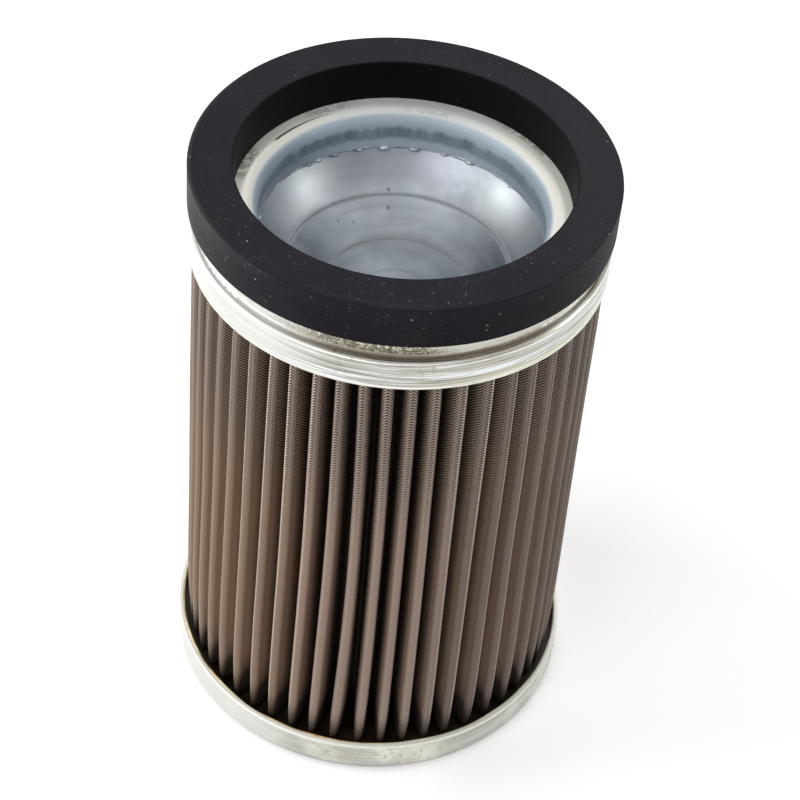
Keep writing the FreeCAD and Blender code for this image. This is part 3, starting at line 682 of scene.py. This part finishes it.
# Plainer finishes: two shades in clouds, and a grain in the surface
plainFinishes = {
    "plainSteel": {
        "colour": (0.38, 0.37, 0.345),
        "dull": (0.22, 0.21, 0.19),
        "cloudScale": 90,
        "cloudy": (0.4, 0.7),
        "metallic": 1.0,
        "roughness": 0.42,
        "roughnessVaries": 0.25,
        "grain": (900, (1.0, 1.0, 0.1)),
        "bump": (0.25, 0.1),
    },
    "castAdhesive": {
        "colour": (0.016, 0.011, 0.008),
        "dull": (0.05, 0.03, 0.016),
        "cloudScale": 240,
        "cloudy": (0.4, 0.7),
        "metallic": 0.0,
        "roughness": 0.5,
        "roughnessVaries": 0.3,
        "bump": (0.5, 0.4),
    },
    "edgeGlue": {
        "colour": (0.48, 0.27, 0.09),
        "dull": (0.78, 0.69, 0.36),
        "clean": (0.74, 0.73, 0.60),
        "cleanRight": (-4.0, 12.0),
        "cleanStrength": 0.8,
        "cloudScale": 110,
        "cloudy": (0.42, 0.62),
        "metallic": 0.0,
        "roughness": 0.35,
        "roughnessVaries": 0.3,
        "grain": (700, (1.0, 1.0, 1.0)),
        "bump": (0.3, 0.2),
    },
    "softSolder": {
        "colour": (0.62, 0.68, 0.72),
        "dull": (0.34, 0.37, 0.41),
        "cloudScale": 300,
        "cloudy": (0.42, 0.62),
        "metallic": 0.4,
        "roughness": 0.3,
        "roughnessVaries": 0.3,
        "grain": (1100, (1.0, 1.0, 1.0)),
        "bump": (0.4, 0.2),
    },
}


def plainFinish(name):
    look = plainFinishes[name]
    f = Finish(name)
    at = f.place()
    cloud = f.grain(at, look["cloudScale"], 4)
    colour = f.tint(f.rise(cloud, *look["cloudy"]), look["colour"], look["dull"])
    if "clean" in look:
        x = f.millimetres(at)[0]
        clean = f.rise(x, *look["cleanRight"]) * look["cleanStrength"]
        colour = f.tint(clean, colour, look["clean"])
    height = cloud
    if "grain" in look:
        scale, stretched = look["grain"]
        height = f.grain(f.stretch(at, stretched), scale, 3)
    return f.surface({
        "Base Color": colour,
        "Metallic": look["metallic"],
        "Roughness": look["roughness"] + (cloud - 0.5) * look["roughnessVaries"],
        "Normal": f.bump(height, *look["bump"]),
    })


finishes = {
    "rubber_black": rubberFinish(),
    "zinc_plate": zincFinish(),
    "zinc_dish": dishFinish(),
    "solder": plainFinish("softSolder"),
    "wire_cloth": clothFinish(),
    "tube_steel": plainFinish("plainSteel"),
    "cast_adhesive": plainFinish("castAdhesive"),
}
for part in frame["record"]["subparts"]:
    mesh = nodes[part["node"]].data
    mesh.materials.clear()
    mesh.materials.append(finishes[part["material_slot"]])
print("finishes made:", len(finishes))


# Makes a finished bmesh, in millimetres, a piece of the part
def addPiece(name, bm, material):
    bmesh.ops.scale(bm, vec=(mm, mm, mm), verts=bm.verts)
    bmesh.ops.remove_doubles(bm, verts=bm.verts, dist=1e-6)
    bmesh.ops.recalc_face_normals(bm, faces=bm.faces)
    mesh = bpy.data.meshes.new(name)
    bm.to_mesh(mesh)
    bm.free()
    for face in mesh.polygons:
        face.use_smooth = True
    piece = bpy.data.objects.new(name, mesh)
    scene.collection.objects.link(piece)
    mesh.materials.append(material)
    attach(piece, "root")
    return piece


# Pleated cloth: one pleat of the middle surface, repeated round the axis and then
# bent out of line as the real folds are
pleats = {
    "count": 52,
    "tipCentre": 42.6,
    "rootCentre": 34.1,
    "tipBend": 0.95,
    "rootBend": 0.65,
    "bottom": 5.52,
    "top": 125.48,
    "thickness": 0.42,
    "rows": 34,
    "tipSteps": 8,
    "rootSteps": 3,
    "flankCuts": 2,
    "mergeChain": 1e-4,
    "mergeFolds": 1e-3,
    # the folds bulge outwards between the caps, most near the bottom
    "bulge": 0.55,
    "footBulge": 1.45,
    "footHeight": (75.0, 20.0),
    "footPower": 1.5,
    "bulgeVaries": 0.15,
    "held": (6.0, 121.0),
    "heldPower": 0.35,
    # the tips are pinched together where they enter the bottom cap
    "pinch": 0.5,
    "pinchHeight": (15.0, 6.0),
    # the fold under the seam clip, at the back, stays straight: nothing strays within the
    # first of these distances from it, in folds, and all strays in full beyond the second
    "clipReach": (0.6, 2.0),
    "rootShare": 0.35,  # how much of a tip's stray its root takes
    "looseDegrees": 0.9,
    "waveDegrees": 0.2,
}

# How far the front folds stray from even spacing, in degrees: near the top, near the
# bottom, and halfway, beyond the straight line between those two. Fold 0 faces the
# front, and the others count anticlockwise from above.
strayTop = {
    -10: 1.8, -9: 1.5, -8: 2.0, -7: 2.0, -6: 2.0, -5: 2.45, -4: 1.7, -3: 1.8, -2: 1.3, -1: 0.5,
    0: 0.15, 1: -0.05, 2: -0.8, 3: -0.15, 4: 0.4, 5: 1.25, 6: 0.9, 7: 1.7, 8: 2.0, 9: 2.6, 10: 2.0,
}
strayBottom = {
    -10: -1.6, -9: -1.6, -8: -1.5, -7: -1.4, -6: -1.0, -5: -0.75, -4: -0.75, -3: -0.45, -2: -0.75,
    -1: -0.9, 0: 0.0, 1: -0.05, 2: -0.1, 3: -0.1, 4: -0.4, 5: 0.6, 6: 0.9, 7: 1.8, 8: 2.6, 9: 2.6,
    10: 2.0,
}
strayMiddle = {-4: 0.4, -3: 0.7, -2: 0.95, -1: 1.7, 0: 1.15, 1: 0.5, 2: 0.3}


# Share of the way from low to high, from 0 to 1; low may be above high
def between(value, low, high):
    return max(0.0, min(1.0, (value - low) / (high - low)))


# A fold's stray at a share of its height; folds that the photograph hides stray by noise
def foldStray(number, share):
    half = pleats["count"] // 2
    number = (number + half) % pleats["count"] - half
    loose = noise.noise(Vector((number * 3.7, 1.3, share * 0.8))) * pleats["looseDegrees"]
    top = strayTop.get(number, loose)
    bottom = strayBottom.get(number, loose)
    middle = strayMiddle.get(number, 0.0) * 4 * share * (1 - share)
    wave = noise.noise(Vector((number * 5.1, 7.7, share * 3.0))) * pleats["waveDegrees"]
    return bottom + (top - bottom) * share + middle + wave


def direction(angle):
    return Vector((math.cos(angle), math.sin(angle), 0))


# Turns what is in the bmesh about an upright line and keeps each step
def sweep(bm, geom, centre, angle, steps, **options):
    settings = {"cent": centre, "axis": (0, 0, 1), "dvec": (0, 0, 0), "use_merge": False}
    settings.update(options)
    return bmesh.ops.spin(bm, geom=geom, angle=angle, steps=steps, **settings)


def makePleats():
    p = pleats
    pitch = math.tau / p["count"]
    root = direction(pitch / 2) * p["rootCentre"]
    tip = Vector((p["tipCentre"], 0, 0))
    toRoot = root - tip
    lean = math.atan2(toRoot.y, toRoot.x)
    lean -= math.acos((p["tipBend"] + p["rootBend"]) / toRoot.length)
    bm = bmesh.new()
    along = bm.verts.layers.float.new("along")
    # half a pleat: the tip's bend, a flank tangent to both bends, the root's bend
    apex = bm.verts.new(tip + direction(0) * p["tipBend"])
    tipEnd = sweep(bm, [apex], tip, lean, p["tipSteps"] // 2)["geom_last"][0]
    start = bm.verts.new(root - direction(pitch / 2) * p["rootBend"])
    rootEnd = sweep(bm, [start], root, lean - pitch / 2, p["rootSteps"])["geom_last"][0]
    flank = bm.edges.new((rootEnd, tipEnd))
    bmesh.ops.subdivide_edges(bm, edges=[flank], cuts=p["flankCuts"])
    # walk it from the tip to the root and note the distance along it
    walk = [max(bm.verts, key=lambda vert: vert.co.x)]
    while True:
        following = [edge.other_vert(walk[-1]) for edge in walk[-1].link_edges]
        following = [vert for vert in following if vert not in walk]
        if not following:
            break
        following[0][along] = walk[-1][along] + (following[0].co - walk[-1].co).length
        walk.append(following[0])
    print("half pleat:", len(walk), "points, length", round(walk[-1][along], 2))
    # the other half mirrors it, with the distance counted the other way
    other = bmesh.ops.duplicate(bm, geom=list(bm.verts) + list(bm.edges))["geom"]
    for item in other:
        if isinstance(item, bmesh.types.BMVert):
            item.co.y = -item.co.y
            item[along] = -item[along]
    bmesh.ops.remove_doubles(bm, verts=bm.verts, dist=p["mergeChain"])
    # pulled up in rows, laid out for the weave, and repeated round the axis
    bmesh.ops.translate(bm, verts=bm.verts, vec=(0, 0, p["bottom"]))
    step = (p["top"] - p["bottom"]) / p["rows"]
    sweep(bm, list(bm.verts) + list(bm.edges), (0, 0, 0), 0.0, p["rows"], dvec=(0, 0, step))
    weave = bm.loops.layers.uv.new("weave")
    for face in bm.faces:
        for loop in face.loops:
            loop[weave].uv = (loop.vert[along] * mm, loop.vert.co.z * mm)
    pleat = list(bm.verts) + list(bm.edges) + list(bm.faces)
    sweep(bm, pleat, (0, 0, 0), math.tau, p["count"], use_duplicate=True)
    bmesh.ops.remove_doubles(bm, verts=bm.verts, dist=p["mergeFolds"])
    for vert in bm.verts:
        bendFold(vert, pitch)
    piece = addPiece("pleatedCloth", bm, finishes["wire_cloth"])
    wall = piece.modifiers.new("thickness", "SOLIDIFY")
    wall.thickness = p["thickness"] * mm
    wall.offset = 0.0
    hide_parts("filter_mesh")
    return piece


# Moves one point of the even pleats to where its uneven fold has it
def bendFold(vert, pitch):
    p = pleats
    share = (vert.co.z - p["bottom"]) / (p["top"] - p["bottom"])
    radius = math.hypot(vert.co.x, vert.co.y)
    angle = math.atan2(vert.co.y, vert.co.x)
    place = (angle + math.pi / 2) / pitch
    number = round(place)
    offset = place - number
    back = p["count"] / 2
    free = between(back - abs((place + back) % p["count"] - back), *p["clipReach"])
    outward = between(radius, p["rootCentre"], p["tipCentre"])
    pinch = outward * between(vert.co.z, *p["pinchHeight"]) ** 2
    angle -= offset * pitch * p["pinch"] * pinch * free
    neighbour = number + (1 if offset > 0 else -1)
    reach = abs(offset)
    stray = foldStray(number, share) * (1 - reach) + foldStray(neighbour, share) * reach
    angle += math.radians(stray) * (p["rootShare"] + (1 - p["rootShare"]) * outward) * free
    held = math.sin(math.pi * between(vert.co.z, *p["held"])) ** p["heldPower"]
    wobble = noise.noise(Vector((number * 2.3, 4.1, share * 4.0))) * p["bulgeVaries"]
    foot = between(vert.co.z, *p["footHeight"]) ** p["footPower"]
    bulge = p["bulge"] + (p["footBulge"] - p["bulge"]) * foot + wobble
    radius += free * outward * held * bulge
    vert.co.x = radius * math.cos(angle)
    vert.co.y = radius * math.sin(angle)


pleatedCloth = makePleats()
print("pleats made:", len(pleatedCloth.data.polygons), "faces")


# A bmesh with a thin round bead in a ring about the axis
def beadRing(ring):
    bm = bmesh.new()
    bmesh.ops.create_circle(bm, segments=8, radius=ring["thickness"])
    bmesh.ops.rotate(bm, verts=bm.verts, matrix=Matrix.Rotation(math.pi / 2, 3, "X"))
    bmesh.ops.scale(bm, vec=(1, 1, ring["tallness"]), verts=bm.verts)
    bmesh.ops.translate(bm, verts=bm.verts, vec=(ring["ringRadius"], 0, ring["height"]))
    chain = list(bm.verts) + list(bm.edges)
    sweep(bm, chain, (0, 0, 0), math.tau, ring["steps"], use_merge=True)
    return bm


# Solder that ran along the neck's edge: an uneven bead and a few drops on it
solderBead = {
    "ringRadius": 30.62,
    "height": 124.42,
    "thickness": 0.30,
    "tallness": 1.0,
    "steps": 180,
    "swell": 0.55,
    "swellScale": 0.55,
    "dropForm": (0.8, 1.25, 0.7),
    "dropInwards": 0.45,
    "dropDown": 0.05,
    # turn in degrees and radius of each drop
    "drops": ((134.5, 0.66), (129.5, 0.70), (121.5, 0.76), (110.5, 0.62), (99.8, 1.05),
              (87.3, 1.0), (74.5, 0.58), (63.2, 0.74), (41.0, 0.45), (-20.0, 0.50),
              (-75.0, 0.55), (-130.0, 0.60), (176.0, 0.50)),
}


def makeSolderBead():
    s = solderBead
    bm = beadRing(s)
    for vert in bm.verts:
        swell = 1.0 + s["swell"] * noise.noise(vert.co * s["swellScale"])
        radius = math.hypot(vert.co.x, vert.co.y)
        reach = (radius - s["ringRadius"]) * swell
        vert.co.x *= (s["ringRadius"] + reach) / radius
        vert.co.y *= (s["ringRadius"] + reach) / radius
        vert.co.z = s["height"] + (vert.co.z - s["height"]) * swell
    place = (s["ringRadius"] - s["dropInwards"], 0, s["height"] - s["dropDown"])
    for turn, size in s["drops"]:
        drop = bmesh.ops.create_icosphere(bm, subdivisions=2, radius=size)["verts"]
        bmesh.ops.scale(bm, vec=s["dropForm"], verts=drop)
        bmesh.ops.translate(bm, verts=drop, vec=place)
        turned = Matrix.Rotation(math.radians(turn), 3, "Z")
        bmesh.ops.rotate(bm, verts=drop, cent=(0, 0, 0), matrix=turned)
    return addPiece("solderBead", bm, finishes["solder"])


# Adhesive that crept up the inside of the bottom cap's rim
glueEdge = {
    "ringRadius": 45.78,
    "height": 8.45,
    "thickness": 0.34,
    "tallness": 1.5,
    "steps": 220,
    "waveScale": 0.12,
    "waveHeight": 0.5,
    "waveDown": 0.1,
}


def makeGlueEdge():
    g = glueEdge
    bm = beadRing(g)
    for vert in bm.verts:
        wave = noise.noise(Vector((vert.co.x, vert.co.y, 3.0)) * g["waveScale"])
        vert.co.z += wave * g["waveHeight"] - g["waveDown"]
    return addPiece("glueEdge", bm, plainFinish("edgeGlue"))


makeSolderBead()
makeGlueEdge()
print("solder bead and adhesive edge made")


# The photograph's view, in metres, radians and millimetres of lens
view = {
    "place": (0.0, -0.363, 0.4275),
    "yaw": 0.0085,
    "pitch": 0.769,
    "roll": 0.091,
    "lens": 100.35,
    "sensor": 36.0,
    "clipStart": 0.01,
}


def makeCamera():
    yaw, pitch, roll = view["yaw"], view["pitch"], view["roll"]
    level = math.cos(pitch)
    forward = Vector((math.sin(yaw) * level, math.cos(yaw) * level, -math.sin(pitch)))
    right = Vector((math.cos(yaw), -math.sin(yaw), 0.0))
    up = right.cross(forward)
    turnedRight = right * math.cos(roll) + up * math.sin(roll)
    turnedUp = up * math.cos(roll) - right * math.sin(roll)
    camera = bpy.data.objects.new("camera", bpy.data.cameras.new("camera"))
    camera.data.lens = view["lens"]
    camera.data.sensor_width = view["sensor"]
    camera.data.clip_start = view["clipStart"]
    axes = Matrix((turnedRight, turnedUp, -forward)).transposed()
    camera.matrix_world = Matrix.Translation(view["place"]) @ axes.to_4x4()
    scene.collection.objects.link(camera)
    scene.camera = camera


studio = {
    "daylight": 0.50,
    "floorColour": (0.86, 0.86, 0.86),
    "floorGlow": 0.32,
    "farGlow": 0.40,
    "farFrom": (150.0, 900.0),
    "floorSize": 3.0,
    "aim": (0, 0, 0.08),
}
lamps = {
    "leftLamp": {"place": (-0.85, 0.02, 0.30), "size": 0.50, "power": 5.2},
    "rightLamp": {"place": (0.85, 0.10, 0.42), "size": 0.50, "power": 1.6},
    "backLamp": {"place": (0.10, 0.75, 0.80), "size": 0.60, "power": 2.2},
    "frontLamp": {"place": (-0.58, -0.80, 0.70), "size": 0.60, "power": 3.2},
}
white = (1, 1, 1)


# 1 where the camera sees a thing itself, in a reflection or through glass
def seenDirectly(f):
    path = f.add("ShaderNodeLightPath")
    seen = path.also("Is Camera Ray") + path.also("Is Glossy Ray")
    return f.calc("MINIMUM", seen + path.also("Is Transmission Ray"), 1.0)


def floorFinish():
    f = Finish("paleFloor")
    plain = f.add("ShaderNodeBsdfDiffuse", None, {"Color": studio["floorColour"]})
    x, y = f.millimetres(f.place())[:2]
    far = f.rise(axisDistance(x, y), *studio["farFrom"])
    level = seenDirectly(f) * (studio["floorGlow"] + far * studio["farGlow"])
    glow = f.add("ShaderNodeEmission", None, {"Color": white, "Strength": level})
    both = f.add("ShaderNodeAddShader", None, {0: plain, 1: glow})
    f.add("ShaderNodeOutputMaterial", None, {"Surface": both})
    return f.owner


def makeStudio():
    bm = bmesh.new()
    bmesh.ops.create_grid(bm, x_segments=1, y_segments=1, size=studio["floorSize"])
    mesh = bpy.data.meshes.new("floor")
    bm.to_mesh(mesh)
    bm.free()
    floor = bpy.data.objects.new("floor", mesh)
    scene.collection.objects.link(floor)
    mesh.materials.append(floorFinish())
    scene.world = bpy.data.worlds.new("studio")
    f = Finish("studio", scene.world)
    level = studio["daylight"] + seenDirectly(f) * (1 - studio["daylight"])
    sky = f.add("ShaderNodeBackground", None, {"Color": white, "Strength": level})
    f.add("ShaderNodeOutputWorld", None, {"Surface": sky})
    for name, lamp in lamps.items():
        light = bpy.data.lights.new(name, "AREA")
        light.shape = "SQUARE"
        light.size = lamp["size"]
        light.energy = lamp["power"]
        holder = bpy.data.objects.new(name, light)
        holder.location = lamp["place"]
        aim = Vector(studio["aim"]) - holder.location
        holder.rotation_euler = aim.to_track_quat("-Z", "Y").to_euler()
        scene.collection.objects.link(holder)


makeCamera()
makeStudio()
scene.view_settings.view_transform = "Standard"
print("camera and studio set")
